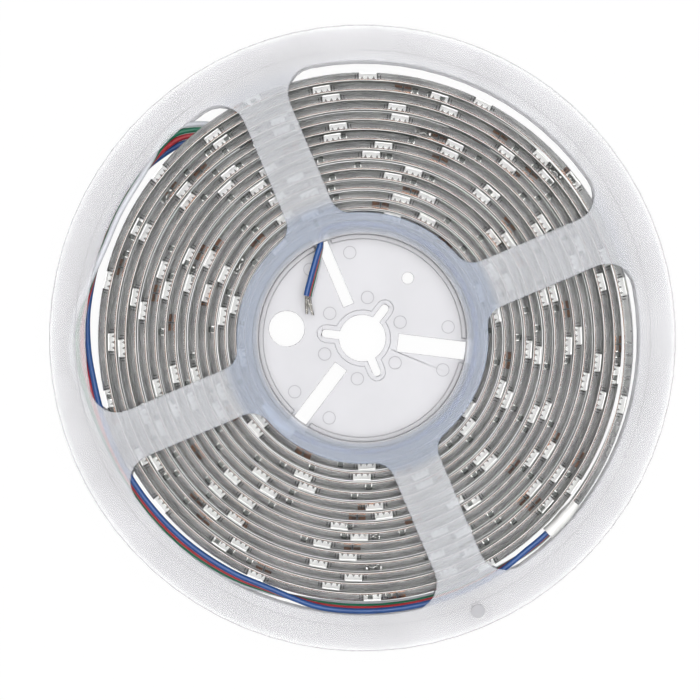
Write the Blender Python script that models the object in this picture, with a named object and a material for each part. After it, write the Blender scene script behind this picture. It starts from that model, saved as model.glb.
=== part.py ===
"""A reel of colour LED strip: two moulded plastic halves, five metres of strip wound between them,
and a flat four-core lead on each end of the strip. The reel lies flat, its axis along Z."""

import math

import bmesh
import bpy
from mathutils import Vector

# Reel halves
REEL_R = 0.089
FLANGE_T = 0.0015
RIM_STEP = 0.0003
RIM_W = 0.0072
HUB_INNER_R = 0.0297
HUB_WALL = 0.0016
WEB_T = 0.0015
WEB_TOP = 0.0075
SPIGOT_WALL = 0.0010
SPIGOT_H = 0.0020
SPIGOT_CLEARANCE = 0.0003
JOIN_GAP = 0.0003

# Windows between the spokes of each flange
SPOKES = 4
SPOKE_W = 0.0142
WINDOW_HUB_MARGIN = 0.0045
WINDOW_RIM_MARGIN = 0.0030
WINDOW_OUTER_FILLET = 0.0077
WINDOW_INNER_FILLET = 0.0056

# Keyed arbor bore, with a shallow step round it
BORE_R = 0.00665
KEY_BEARINGS = (30, 150, 270)
KEY_W = 0.0023
KEY_DEPTH = 0.00505
BORE_STEP_W = 0.0014
BORE_STEP_DEPTH = 0.0004

# Slots and holes of the web, as (bearing, width) and (bearing, distance, radius)
SLOT_BORE_MARGIN = 0.00355
SLIT_MARGIN = 0.0010
SLOTS = ((330, 0.0051), (90, 0.0031), (210, 0.0041))
WEB_HOLES = ((150, 0.0218, 0.0051), (30, 0.0215, 0.00165))
RIM_DIMPLE_BEARING = 270
RIM_DIMPLE_R = 0.002
RIM_DIMPLE_MARGIN = 0.0005
RIM_DIMPLE_DEPTH = 0.0004

# Strip: turns run clockwise as they go outward, and the lights face outward
STRIP_W = 0.010
STRIP_HEADROOM = 0.0009
BOARD_T = 0.0004
COAT_H = 0.0021
LED_SIZE = 0.0050
LED_H = 0.0016
LED_COUNT = 150
STRIP_START_BEARING = 195
STRIP_TURNS = 14.715
TURN_GAP = 0.00033
LAST_TURN_LOOSENING = 0.0010
MAX_TURN_PER_SEGMENT = 13
LED_END_SHARE = 0.01

# Four-core flat leads
CORE_D = 0.00165
CORES = 4
TAIL_CLEARANCE = 0.00025
LEAD_STEP = 0.0046
LEAD_BEVEL_SHARE = 0.55
BARE_LENGTH = 0.0050
BARE_D = 0.0008
BARE_GAP = 0.0001

# Shrink sleeves over the soldered ends
SLEEVE_ARC = 0.0118
SLEEVE_GRIP = 0.0024
SLEEVE_WALL = 0.0003
SLEEVE_CLEARANCE = 0.0003
SLEEVE_PINCH = 0.0009
SLEEVE_LEAD_T = 0.0037
SLEEVE_CORNER_SHARE = 0.3
SLEEVE_HUB_CLEARANCE = 0.00015

# Stations along a lead: bearing in degrees, distance from the axis, height and lean.
# A lead with no lean stands on its edge with its white core on top, and a lean of 90 lays
# it flat with the white core on the left of its run.
OUTER_LEAD = (
    (-67.5, 0.0769, 0.0087, 170),
    (-72, 0.0769, 0.0087, 170),
    (-76, 0.0768, 0.0087, 173),
    (-83, 0.0769, 0.0087, 188),
    (-95, 0.0770, 0.0087, 197),
    (-113, 0.0770, 0.0087, 200),
    (-122, 0.0770, 0.0087, 196),
    (-128, 0.0767, 0.0087, 180),
    (-134, 0.0767, 0.0087, 164),
    (-142, 0.0774, 0.0087, 156),
    (-156, 0.0780, 0.0087, 152),
    (-170, 0.0782, 0.0087, 154),
    (-182, 0.0786, 0.0087, 148),
    (-192, 0.0796, 0.0087, 122),
    (-200, 0.0807, 0.0087, 84),
    (-207, 0.0805, 0.0087, 44),
    (-214, 0.0792, 0.0087, 8),
    (-222, 0.0784, 0.0086, -12),
    (-230, 0.0784, 0.0086, -13),
    (-238, 0.0784, 0.0082, -10),
    (-243, 0.0787, 0.0070, 6),
    (-247, 0.0790, 0.0046, 44),
    (-250.5, 0.0784, 0.0030, 77),
    (-253.5, 0.0762, 0.0027, 90),
    (-257, 0.0725, 0.0027, 90),
    (-261.8, 0.0674, 0.0027, 90),
    (-269.3, 0.0623, 0.0027, 90),
    (-281, 0.0585, 0.0027, 90),
    (-292.9, 0.0571, 0.0027, 90),
    (-305, 0.0584, 0.0027, 90),
    (-316.5, 0.0623, 0.0027, 90),
    (-326, 0.0684, 0.0027, 90),
)
INNER_LEAD = (
    (206, 0.03330, 0.0087, 180),
    (212, 0.03325, 0.0087, 180),
    (218, 0.03300, 0.0087, 180),
    (224, 0.03265, 0.0087, 180),
    (235, 0.03240, 0.0087, 180),
    (270, 0.03240, 0.0088, 180),
    (320, 0.03240, 0.0093, 180),
    (370, 0.03240, 0.0101, 180),
    (405, 0.03240, 0.0107, 180),
    (425, 0.03250, 0.0109, 180),
    (437, 0.03270, 0.0110, 180),
    (441, 0.03280, 0.0110, 180),
    (444.8, 0.03280, 0.0110, 180),
    (447.8, 0.03220, 0.0110, 180),
    (449.9, 0.03080, 0.0110, 180),
    (451.5, 0.02890, 0.0110, 178),
    (454.2, 0.02727, 0.0111, 174),
    (460.1, 0.02448, 0.0111, 170),
    (468.9, 0.02166, 0.0111, 168),
    (479.4, 0.01952, 0.0111, 168),
)

# Roundness of the mesh
ARC_STEP = math.radians(5)
WINDOW_INNER_STEPS = 5
WINDOW_OUTER_STEPS = 6
KEY_STEPS = 6
BORE_STEPS = 12
HOLE_STEPS = 20
SLEEVE_STEPS = 5
BARE_SIDES = 8
LEAD_SAMPLES = 16
LEAD_TURN = math.radians(14)

# Sizes that follow from those above
STRIP_T = BOARD_T + COAT_H
FLANGE_INNER = RIM_STEP + FLANGE_T
STRIP_BED = FLANGE_INNER + CORE_D + TAIL_CLEARANCE
STRIP_MIDDLE = STRIP_BED + STRIP_W / 2
REEL_HEIGHT = STRIP_BED + STRIP_W + STRIP_HEADROOM + FLANGE_INNER
RIM_INNER_R = REEL_R - RIM_W
HUB_OUTER_R = HUB_INNER_R + HUB_WALL
WINDOW_INNER_R = HUB_OUTER_R + WINDOW_HUB_MARGIN
WINDOW_OUTER_R = RIM_INNER_R - WINDOW_RIM_MARGIN
KEY_REACH = BORE_R + KEY_DEPTH
SLOT_INNER_R = BORE_R + SLOT_BORE_MARGIN
SLOT_OUTER_R = HUB_INNER_R + SPIGOT_CLEARANCE
SPIGOT_OUTER_R = HUB_INNER_R - SPIGOT_CLEARANCE
SPIGOT_INNER_R = SPIGOT_OUTER_R - SPIGOT_WALL
SPIGOT_TOP = WEB_TOP + SPIGOT_H
WEB_UNDER = WEB_TOP - WEB_T
TUBE_END = WEB_TOP + JOIN_GAP
RIM_DIMPLE_REACH = RIM_INNER_R + RIM_DIMPLE_R + RIM_DIMPLE_MARGIN
TURN_PITCH = STRIP_T + TURN_GAP
STRIP_START_R = HUB_OUTER_R + CORE_D + STRIP_T / 2
SLEEVE_STRIP_T = STRIP_T + SLEEVE_PINCH - 2 * SLEEVE_WALL
INNER_SLEEVE_LEAD_R = HUB_OUTER_R + SLEEVE_LEAD_T / 2 + SLEEVE_HUB_CLEARANCE
CUT = 0.001


def clear_scene():
    for old in list(bpy.data.objects):
        bpy.data.objects.remove(old, do_unlink=True)


def plastic(name, colour, roughness, metallic=0.0, transmission=0.0):
    made = bpy.data.materials.new(name)
    made.use_nodes = True
    shader = made.node_tree.nodes["Principled BSDF"]
    shader.inputs["Base Color"].default_value = (*colour, 1)
    shader.inputs["Roughness"].default_value = roughness
    shader.inputs["Metallic"].default_value = metallic
    shader.inputs["Transmission Weight"].default_value = transmission
    made.diffuse_color = (*colour, 1)
    return made


def add_object(name, bm, material=None):
    """Turn a bmesh into a named object with its faces pointing out."""
    bmesh.ops.recalc_face_normals(bm, faces=bm.faces)
    mesh = bpy.data.meshes.new(name)
    bm.to_mesh(mesh)
    bm.free()
    made = bpy.data.objects.new(name, mesh)
    bpy.context.collection.objects.link(made)
    if material:
        mesh.materials.append(material)
        mesh.shade_smooth()
        mesh.set_sharp_from_angle(angle=math.radians(30))
    return made


def polar(distance, bearing, height=0.0):
    return Vector((distance * math.cos(bearing), distance * math.sin(bearing), height))


def arc(centre, radius, start, end, steps=None):
    """Points from bearing start to bearing end, both included, round a centre in the XY plane."""
    steps = steps or max(2, math.ceil(abs(end - start) / ARC_STEP))
    return [centre + polar(radius, start + (end - start) * k / steps) for k in range(steps + 1)]


def add_ring(bm, points):
    return [bm.verts.new(p) for p in points]


def bridge(bm, lower, upper):
    for k in range(len(lower)):
        after = (k + 1) % len(lower)
        bm.faces.new((lower[k], lower[after], upper[after], upper[k]))


def add_prism(bm, outline, low, high):
    """An upright prism on an outline in the XY plane."""
    lower = add_ring(bm, [Vector((p.x, p.y, low)) for p in outline])
    upper = add_ring(bm, [Vector((p.x, p.y, high)) for p in outline])
    bm.faces.new(lower)
    bm.faces.new(upper)
    bridge(bm, lower, upper)


def window_outline(first_bearing):
    """The window that follows the spoke at first_bearing, its corners filleted."""
    side = SPOKE_W / 2
    outer_y = side + WINDOW_OUTER_FILLET
    outer_reach = WINDOW_OUTER_R - WINDOW_OUTER_FILLET
    outer = Vector((math.sqrt(outer_reach ** 2 - outer_y ** 2), outer_y, 0))
    inner_y = side + WINDOW_INNER_FILLET
    inner_reach = WINDOW_INNER_R + WINDOW_INNER_FILLET
    inner = Vector((math.sqrt(inner_reach ** 2 - inner_y ** 2), inner_y, 0))
    outer_turn = math.atan2(outer.y, outer.x)
    inner_turn = math.atan2(inner.y, inner.x)
    quarter = math.radians(90)
    half = arc(inner, WINDOW_INNER_FILLET, inner_turn - 2 * quarter, -quarter, WINDOW_INNER_STEPS)
    half += arc(outer, WINDOW_OUTER_FILLET, -quarter, outer_turn, WINDOW_OUTER_STEPS)
    span = math.tau / SPOKES
    mirrored = [polar(p.length, span - math.atan2(p.y, p.x)) for p in reversed(half)]
    rim = arc(Vector(), WINDOW_OUTER_R, outer_turn, span - outer_turn)[1:-1]
    hub = arc(Vector(), WINDOW_INNER_R, span - inner_turn, inner_turn)[1:-1]
    outline = half + rim + mirrored + hub
    return [polar(p.length, math.atan2(p.y, p.x) + first_bearing) for p in outline]


def bore_outline(margin):
    """The bore and its keyways, all made larger by a margin."""
    radius = BORE_R + margin
    key = KEY_W / 2 + margin
    key_centre = KEY_REACH - KEY_W / 2
    mouth = math.asin(key / radius)
    points = []
    for number, bearing in enumerate(KEY_BEARINGS):
        middle = math.radians(bearing)
        following = KEY_BEARINGS[(number + 1) % len(KEY_BEARINGS)]
        gap = math.radians((following - bearing) % 360)
        quarter = math.radians(90)
        centre = polar(key_centre, middle)
        points += arc(centre, key, middle - quarter, middle + quarter, KEY_STEPS)
        points += arc(Vector(), radius, middle + mouth, middle + gap - mouth, BORE_STEPS)
    return points


def slot_outline(bearing, width, start, end):
    """A straight-sided slot along a bearing, from one distance to another."""
    along = polar(1, math.radians(bearing))
    across = Vector((-along.y, along.x, 0)) * width / 2
    inner = along * start
    outer = along * end
    return [inner - across, outer - across, outer + across, inner + across]


def hole_outline(bearing, distance, radius):
    return arc(polar(distance, math.radians(bearing)), radius, 0, math.tau, HOLE_STEPS)[:-1]


def turned(name, material, profile):
    """A solid turned round the reel's axis from a closed profile of (distance, height)."""
    steps = round(math.tau / ARC_STEP)
    bm = bmesh.new()
    rings = []
    for k in range(steps):
        bearing = math.tau * k / steps
        rings.append(add_ring(bm, [polar(r, bearing, z) for r, z in profile]))
    for k in range(steps):
        bridge(bm, rings[k], rings[(k + 1) % steps])
    return add_object(name, bm, material)


def cut_away(target, label, prisms):
    """Cut prisms, given as (outline, low, high), out of a solid."""
    bm = bmesh.new()
    for outline, low, high in prisms:
        add_prism(bm, outline, low, high)
    cutter = add_object(f"{target.name}_{label}", bm)
    cutter.hide_render = True
    cutter.display_type = "WIRE"
    modifier = target.modifiers.new(label, "BOOLEAN")
    modifier.operation = "DIFFERENCE"
    modifier.solver = "EXACT"
    modifier.object = cutter


def cut_windows(half, low, high):
    outlines = [window_outline(math.tau * k / SPOKES) for k in range(SPOKES)]
    cut_away(half, "windows", [(outline, low - CUT, high + CUT) for outline in outlines])


def make_rear_half(material):
    """Flange, lower part of the hub tube, web and the spigot that the front half slips over."""
    profile = (
        (REEL_R, 0),
        (REEL_R, FLANGE_INNER),
        (HUB_OUTER_R, FLANGE_INNER),
        (HUB_OUTER_R, WEB_TOP),
        (SPIGOT_OUTER_R, WEB_TOP),
        (SPIGOT_OUTER_R, SPIGOT_TOP),
        (SPIGOT_INNER_R, SPIGOT_TOP),
        (SPIGOT_INNER_R, WEB_TOP),
        (BORE_R / 2, WEB_TOP),
        (BORE_R / 2, WEB_UNDER),
        (HUB_INNER_R, WEB_UNDER),
        (HUB_INNER_R, RIM_STEP),
        (RIM_INNER_R, RIM_STEP),
        (RIM_INNER_R, 0),
    )
    half = turned("rear_half", material, profile)
    cut_windows(half, 0, FLANGE_INNER)
    through = (WEB_UNDER - CUT, WEB_TOP + CUT)
    step = (WEB_TOP - BORE_STEP_DEPTH, WEB_TOP + CUT)
    cut_away(half, "bore", [(bore_outline(0), *through)])
    cut_away(half, "bore_step", [(bore_outline(BORE_STEP_W), *step)])
    cuts = [(hole_outline(*hole), *through) for hole in WEB_HOLES]
    for bearing, width in SLOTS:
        cuts.append((slot_outline(bearing, width, SLOT_INNER_R, SLOT_OUTER_R), *through))
    cut_away(half, "slots_and_holes", cuts)
    notches = [
        (slot_outline(bearing, width + 2 * SLIT_MARGIN, SPIGOT_INNER_R - CUT, SLOT_OUTER_R),
         WEB_TOP, SPIGOT_TOP + CUT)
        for bearing, width in SLOTS
    ]
    cut_away(half, "spigot_notches", notches)


def make_front_half(material):
    """Flange and upper part of the hub tube, slit above each slot of the web."""
    inner_face = REEL_HEIGHT - FLANGE_INNER
    profile = (
        (REEL_R, REEL_HEIGHT),
        (REEL_R, inner_face),
        (HUB_OUTER_R, inner_face),
        (HUB_OUTER_R, TUBE_END),
        (HUB_INNER_R, TUBE_END),
        (HUB_INNER_R, REEL_HEIGHT - RIM_STEP),
        (RIM_INNER_R, REEL_HEIGHT - RIM_STEP),
        (RIM_INNER_R, REEL_HEIGHT),
    )
    half = turned("front_half", material, profile)
    cut_windows(half, inner_face, REEL_HEIGHT)
    slits = [
        (slot_outline(bearing, width + 2 * SLIT_MARGIN, HUB_INNER_R - CUT, HUB_OUTER_R + CUT),
         TUBE_END - CUT, inner_face)
        for bearing, width in SLOTS
    ]
    cut_away(half, "slits", slits)
    dimple = hole_outline(RIM_DIMPLE_BEARING, RIM_DIMPLE_REACH, RIM_DIMPLE_R)
    top = REEL_HEIGHT + CUT
    cut_away(half, "dimple", [(dimple, REEL_HEIGHT - RIM_DIMPLE_DEPTH, top)])


def loosening(turns):
    """Extra radius of the last turn, which has sprung open a little."""
    share = min(max(turns - (STRIP_TURNS - 1), 0), 1)
    return LAST_TURN_LOOSENING * share * share * (3 - 2 * share)


def strip_radius(turns):
    """Distance from the axis to the middle of the coated strip."""
    return STRIP_START_R + TURN_PITCH * turns + loosening(turns)


def strip_bearing(turns):
    return math.radians(STRIP_START_BEARING) - math.tau * turns


def board_lengths(steps_per_turn=360):
    """Running length of the board at evenly spaced turns, as (turns, length)."""
    steps = math.ceil(STRIP_TURNS * steps_per_turn)
    board_offset = STRIP_T / 2 - BOARD_T / 2
    table = [(0.0, 0.0)]
    for k in range(steps):
        middle = STRIP_TURNS * (k + 0.5) / steps
        advance = math.tau * STRIP_TURNS / steps * (strip_radius(middle) - board_offset)
        table.append((STRIP_TURNS * (k + 1) / steps, table[-1][1] + advance))
    return table


def turns_at(lengths, table):
    """The turns at which the board reaches each of some rising lengths."""
    found = []
    k = 1
    for length in lengths:
        while k < len(table) - 1 and table[k][1] < length:
            k += 1
        (turn_a, length_a), (turn_b, length_b) = table[k - 1], table[k]
        share = (length - length_a) / (length_b - length_a)
        found.append(turn_a + (turn_b - turn_a) * share)
    return found


def strip_stations():
    """Stations along the board as (turns, whether a light fills the stretch that follows)."""
    table = board_lengths()
    pitch = table[-1][1] / LED_COUNT
    edges = [0.0]
    for k in range(LED_COUNT):
        middle = (k + 0.5) * pitch
        edges += [middle - LED_SIZE / 2, middle + LED_SIZE / 2]
    edges.append(table[-1][1])
    turns = turns_at(edges, table)
    most = MAX_TURN_PER_SEGMENT / 360
    stations = []
    for k in range(len(turns) - 1):
        has_light = k % 2 == 1
        pieces = 1 if has_light else max(2, math.ceil((turns[k + 1] - turns[k]) / most))
        for piece in range(pieces):
            share = piece / pieces
            stations.append((turns[k] + (turns[k + 1] - turns[k]) * share, has_light))
    stations.append((turns[-1], False))
    return stations


def make_strip(material):
    """The wound board with a package of each light on its outer side, as one body."""
    bm = bmesh.new()
    back = -STRIP_T / 2
    front = back + BOARD_T
    stations = strip_stations()
    rings = []
    for turns, _ in stations:
        radius = strip_radius(turns)
        bearing = strip_bearing(turns)
        corners = (
            polar(radius + back, bearing, STRIP_BED),
            polar(radius + back, bearing, STRIP_BED + STRIP_W),
            polar(radius + front, bearing, STRIP_BED + STRIP_W),
            polar(radius + front, bearing, STRIP_BED),
        )
        rings.append(add_ring(bm, corners))
    for (_, has_light), near, far in zip(stations, rings, rings[1:]):
        for side in (0, 1, 3):
            after = (side + 1) % 4
            bm.faces.new((near[side], near[after], far[after], far[side]))
        base = (near[2], near[3], far[3], far[2])
        if has_light:
            add_light(bm, base)
        else:
            bm.faces.new(base)
    bm.faces.new(rings[0])
    bm.faces.new(rings[-1])
    return add_object("led_strip", bm, material)


def add_light(bm, base):
    """Stand a light's package on a quad of the board, inset from the board's two long edges."""
    margin = (STRIP_W - LED_SIZE) / 2 / STRIP_W
    near_top, near_low, far_low, far_top = (v.co.copy() for v in base)
    outward = (far_low - near_low).cross(near_top - near_low).normalized()
    if outward.dot(Vector((near_low.x, near_low.y, 0))) < 0:
        outward = -outward
    foot = [
        near_top.lerp(near_low, margin),
        near_low.lerp(near_top, margin),
        far_low.lerp(far_top, margin),
        far_top.lerp(far_low, margin),
    ]
    foot = [p.lerp(foot[3 - k], LED_END_SHARE) for k, p in enumerate(foot)]
    low = add_ring(bm, foot)
    high = add_ring(bm, [p + outward * LED_H for p in foot])
    bridge(bm, list(base), low)
    bridge(bm, low, high)
    bm.faces.new(high)


def make_sleeve(name, material, strip_end, lead_end):
    """A shrink tube on an arc: each end is given as (bearing, distance, thickness, height)."""
    bm = bmesh.new()
    outer = []
    inner = []
    for k in range(SLEEVE_STEPS + 1):
        share = k / SLEEVE_STEPS
        bearing, distance, thickness, height = (
            a + (b - a) * share for a, b in zip(strip_end, lead_end)
        )
        for rings, wall in ((outer, 0), (inner, SLEEVE_WALL)):
            across = thickness / 2 - wall
            up = height / 2 - wall
            corner = across * SLEEVE_CORNER_SHARE
            section = (
                (-across, -up + corner),
                (-across, up - corner),
                (-across + corner, up),
                (across - corner, up),
                (across, up - corner),
                (across, -up + corner),
                (across - corner, -up),
                (-across + corner, -up),
            )
            rings.append(
                add_ring(bm, [polar(distance + x, bearing, STRIP_MIDDLE + z) for x, z in section])
            )
    for rings in (outer, inner):
        for near, far in zip(rings, rings[1:]):
            bridge(bm, near, far)
    bridge(bm, outer[0], inner[0])
    bridge(bm, outer[-1], inner[-1])
    return add_object(name, bm, material)


def smooth_route(stations):
    """A lead's stations as close (point, lean) pairs on a Catmull-Rom curve in polar values."""
    ends = (stations[0], *stations, stations[-1])
    route = []
    for k in range(1, len(ends) - 2):
        for sample in range(LEAD_SAMPLES):
            t = sample / LEAD_SAMPLES
            weights = (
                (-t + 2 * t ** 2 - t ** 3) / 2,
                (2 - 5 * t ** 2 + 3 * t ** 3) / 2,
                (t + 4 * t ** 2 - 3 * t ** 3) / 2,
                (-t ** 2 + t ** 3) / 2,
            )
            near = ends[k - 1:k + 3]
            route.append([sum(w * s[i] for w, s in zip(weights, near)) for i in range(4)])
    route.append(stations[-1])
    return [
        (polar(distance, math.radians(bearing), height), math.radians(lean))
        for bearing, distance, height, lean in route
    ]


def even_route(stations):
    """The smooth route, thinned to a point every LEAD_STEP, or closer where the lead bends."""
    route = smooth_route(stations)
    kept = [route[0]]
    last_run = route[1][0] - route[0][0]
    for (place, lean), (following, _) in zip(route[1:-1], route[2:]):
        run = following - place
        far = (place - kept[-1][0]).length >= LEAD_STEP
        if far or (run.angle(last_run) > LEAD_TURN and (place - kept[-1][0]).length > CORE_D / 2):
            kept.append((place, lean))
            last_run = run
    if (route[-1][0] - kept[-1][0]).length < LEAD_STEP / 3:
        kept.pop()
    kept.append(route[-1])
    return kept


def lead_frames(route):
    """Each point of a route with its run, its width and its thickness directions."""
    frames = []
    for k, (place, lean) in enumerate(route):
        before = route[max(k - 1, 0)][0]
        after = route[min(k + 1, len(route) - 1)][0]
        run = (after - before).normalized()
        left = Vector((0, 0, 1)).cross(run).normalized()
        up = run.cross(left)
        width = up * math.cos(lean) + left * math.sin(lean)
        frames.append((place, run, width, run.cross(width)))
    return frames


def make_lead(name, material, stations):
    """The flat cable, drawn as a bar with bevelled edges round its four cores."""
    bm = bmesh.new()
    wide = CORES * CORE_D / 2
    thick = CORE_D / 2
    bevel = thick * LEAD_BEVEL_SHARE
    section = (
        (-wide, -thick + bevel),
        (-wide, thick - bevel),
        (-wide + bevel, thick),
        (wide - bevel, thick),
        (wide, thick - bevel),
        (wide, -thick + bevel),
        (wide - bevel, -thick),
        (-wide + bevel, -thick),
    )
    rings = [
        add_ring(bm, [place + width * x + through * y for x, y in section])
        for place, _, width, through in lead_frames(even_route(stations))
    ]
    for near, far in zip(rings, rings[1:]):
        bridge(bm, near, far)
    bm.faces.new(rings[0])
    bm.faces.new(rings[-1])
    return add_object(name, bm, material)


def make_bare_ends(prefix, material, stations):
    """The tinned ends of a lead's four cores, in line with its last point."""
    place, run, width, through = lead_frames(even_route(stations))[-1]
    for core in range(CORES):
        bm = bmesh.new()
        start = place + width * (core - (CORES - 1) / 2) * CORE_D + run * BARE_GAP
        rings = []
        for reach in (0, BARE_LENGTH):
            middle = start + run * reach
            turns = [math.tau * k / BARE_SIDES for k in range(BARE_SIDES)]
            radius = BARE_D / 2
            points = [
                middle + (width * math.cos(a) + through * math.sin(a)) * radius for a in turns
            ]
            rings.append(add_ring(bm, points))
        bridge(bm, *rings)
        bm.faces.new(rings[0])
        bm.faces.new(rings[1])
        add_object(f"{prefix}_bare_end_{core + 1}", bm, material)


def sleeve_ends(edge_bearing, edge_radius, away, lead_radius):
    """The strip end and lead end of a sleeve that grips the strip's end at edge_bearing.

    away is 1 or -1, the way from the strip towards the lead.
    """
    strip_bearing_end = edge_bearing - away * SLEEVE_GRIP / edge_radius
    lead_bearing_end = strip_bearing_end + away * SLEEVE_ARC / edge_radius
    wall = 2 * (SLEEVE_WALL + SLEEVE_CLEARANCE)
    strip_radius_end = edge_radius + (SLEEVE_STRIP_T - wall - STRIP_T) / 2
    strip_end = (strip_bearing_end, strip_radius_end, SLEEVE_STRIP_T, STRIP_W + wall)
    lead_end = (lead_bearing_end, lead_radius, SLEEVE_LEAD_T, CORES * CORE_D + wall + CORE_D)
    return strip_end, lead_end


def build():
    clear_scene()
    frosted = plastic("frosted_polystyrene", (0.80, 0.81, 0.84), 0.45, transmission=0.4)
    board = plastic("white_flex_board", (0.78, 0.78, 0.76), 0.5)
    sleeve = plastic("white_shrink_sleeve", (0.85, 0.84, 0.80), 0.55)
    cable = plastic("blue_lead_insulation", (0.02, 0.10, 0.42), 0.4)
    tinned = plastic("tinned_copper", (0.62, 0.60, 0.56), 0.35, metallic=1.0)

    make_rear_half(frosted)
    make_front_half(frosted)
    make_strip(board)

    inner_radius = strip_radius(0)
    outer_radius = strip_radius(STRIP_TURNS)
    inner_ends = sleeve_ends(strip_bearing(0), inner_radius, 1, INNER_SLEEVE_LEAD_R)
    outer_ends = sleeve_ends(strip_bearing(STRIP_TURNS), outer_radius, -1, outer_radius)
    make_sleeve("inner_sleeve", sleeve, *inner_ends)
    make_sleeve("outer_sleeve", sleeve, *outer_ends)
    make_lead("inner_lead", cable, INNER_LEAD)
    make_lead("outer_lead", cable, OUTER_LEAD)
    make_bare_ends("inner", tinned, INNER_LEAD)
    make_bare_ends("outer", tinned, OUTER_LEAD)


build()
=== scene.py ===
# %% [markdown]
# A reel of colour LED strip, seen from straight above on white. Nearly all of its look comes from two
# things that let light through: the milky plastic of the reel, which blurs what lies behind it, and the
# clear gel over the strip, which bends the view so that the flat board inside each turn can be seen from
# its edge. Both are modelled as real bodies here, and Cycles does the bending.

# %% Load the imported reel
import math
import random

import bmesh
import bpy
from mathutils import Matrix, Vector


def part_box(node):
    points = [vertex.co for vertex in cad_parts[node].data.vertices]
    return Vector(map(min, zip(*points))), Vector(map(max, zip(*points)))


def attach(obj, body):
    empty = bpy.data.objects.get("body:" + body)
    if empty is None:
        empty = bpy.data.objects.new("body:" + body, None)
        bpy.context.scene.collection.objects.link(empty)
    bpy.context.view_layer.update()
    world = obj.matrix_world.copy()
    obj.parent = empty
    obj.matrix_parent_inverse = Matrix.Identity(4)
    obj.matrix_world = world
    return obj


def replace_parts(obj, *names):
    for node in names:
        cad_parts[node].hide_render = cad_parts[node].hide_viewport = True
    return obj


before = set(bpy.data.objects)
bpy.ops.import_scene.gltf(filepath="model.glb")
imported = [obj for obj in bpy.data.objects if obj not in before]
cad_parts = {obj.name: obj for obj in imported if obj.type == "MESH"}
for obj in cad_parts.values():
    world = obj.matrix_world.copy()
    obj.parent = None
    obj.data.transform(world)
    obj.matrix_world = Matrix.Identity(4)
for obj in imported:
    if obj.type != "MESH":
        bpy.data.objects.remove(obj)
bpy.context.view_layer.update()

print("nodes:", sorted(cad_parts))

# %% Sizes that everything shares, in metres
front_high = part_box("front_half")[1]
strip_low, strip_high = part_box("led_strip")
REEL_R = front_high.x
REEL_HEIGHT = front_high.z
STRIP_W = strip_high.z - strip_low.z
STRIP_MIDDLE = (strip_high.z + strip_low.z) / 2
BOARD_T = 0.0004
COAT_H = 0.0021
STRIP_T = BOARD_T + COAT_H
CORE_D = 0.00165
HUB_OUTER_R = 0.0313
WEB_TOP = 0.0075
print(f"reel {2000 * REEL_R:.1f} mm across and {1000 * REEL_HEIGHT:.1f} mm high")

# %% [markdown]
# It looks straight down from so far that the two flanges nearly coincide. The reel is turned a little
# and sits up and to the right of the middle of the picture.

# %% Camera
PICTURE = 700
PIXELS_PER_METRE = 3522
AXIS_X, AXIS_Y = 362.5, 338
VIEW_TURN = math.radians(22.9)
CAMERA_ABOVE = 1.4
SENSOR = 36

camera_data = bpy.data.cameras.new("camera")
camera_data.sensor_width = SENSOR
camera_data.lens = SENSOR * CAMERA_ABOVE * PIXELS_PER_METRE / PICTURE
camera = bpy.data.objects.new("camera", camera_data)
bpy.context.scene.collection.objects.link(camera)
view_right = Vector((math.cos(VIEW_TURN), -math.sin(VIEW_TURN), 0))
view_up = Vector((math.sin(VIEW_TURN), math.cos(VIEW_TURN), 0))
aside = view_right * (PICTURE / 2 - AXIS_X) + view_up * (AXIS_Y - PICTURE / 2)
camera.location = aside / PIXELS_PER_METRE + Vector((0, 0, REEL_HEIGHT + CAMERA_ABOVE))
camera.rotation_euler = (0, 0, -VIEW_TURN)
bpy.context.scene.camera = camera
print(f"lens {camera_data.lens:.1f} mm")

# %% [markdown]
# Each end of the strip has a flat lead of four bonded cores: blue, red, green and white. The lead is
# limp, so it follows the roll and leans over where it has room. Its route is a list of stations round the
# reel's axis, the same ones that the solid model uses, as bearing, distance, height and lean. A lean of
# 0 stands the lead on its edge with the white core on top, and 90 lays it flat.

# %% Routes of the two leads
OUTER_LEAD = (
    (-67.5, 0.0769, 0.0087, 170),
    (-72, 0.0769, 0.0087, 170),
    (-76, 0.0768, 0.0087, 173),
    (-83, 0.0769, 0.0087, 188),
    (-95, 0.0770, 0.0087, 197),
    (-113, 0.0770, 0.0087, 200),
    (-122, 0.0770, 0.0087, 196),
    (-128, 0.0767, 0.0087, 180),
    (-134, 0.0767, 0.0087, 164),
    (-142, 0.0774, 0.0087, 156),
    (-156, 0.0780, 0.0087, 152),
    (-170, 0.0782, 0.0087, 154),
    (-182, 0.0786, 0.0087, 148),
    (-192, 0.0796, 0.0087, 122),
    (-200, 0.0807, 0.0087, 84),
    (-207, 0.0805, 0.0087, 44),
    (-214, 0.0792, 0.0087, 8),
    (-222, 0.0784, 0.0086, -12),
    (-230, 0.0784, 0.0086, -13),
    (-238, 0.0784, 0.0082, -10),
    (-243, 0.0787, 0.0070, 6),
    (-247, 0.0790, 0.0046, 44),
    (-250.5, 0.0784, 0.0030, 77),
    (-253.5, 0.0762, 0.0027, 90),
    (-257, 0.0725, 0.0027, 90),
    (-261.8, 0.0674, 0.0027, 90),
    (-269.3, 0.0623, 0.0027, 90),
    (-281, 0.0585, 0.0027, 90),
    (-292.9, 0.0571, 0.0027, 90),
    (-305, 0.0584, 0.0027, 90),
    (-316.5, 0.0623, 0.0027, 90),
    (-326, 0.0684, 0.0027, 90),
)
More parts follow.
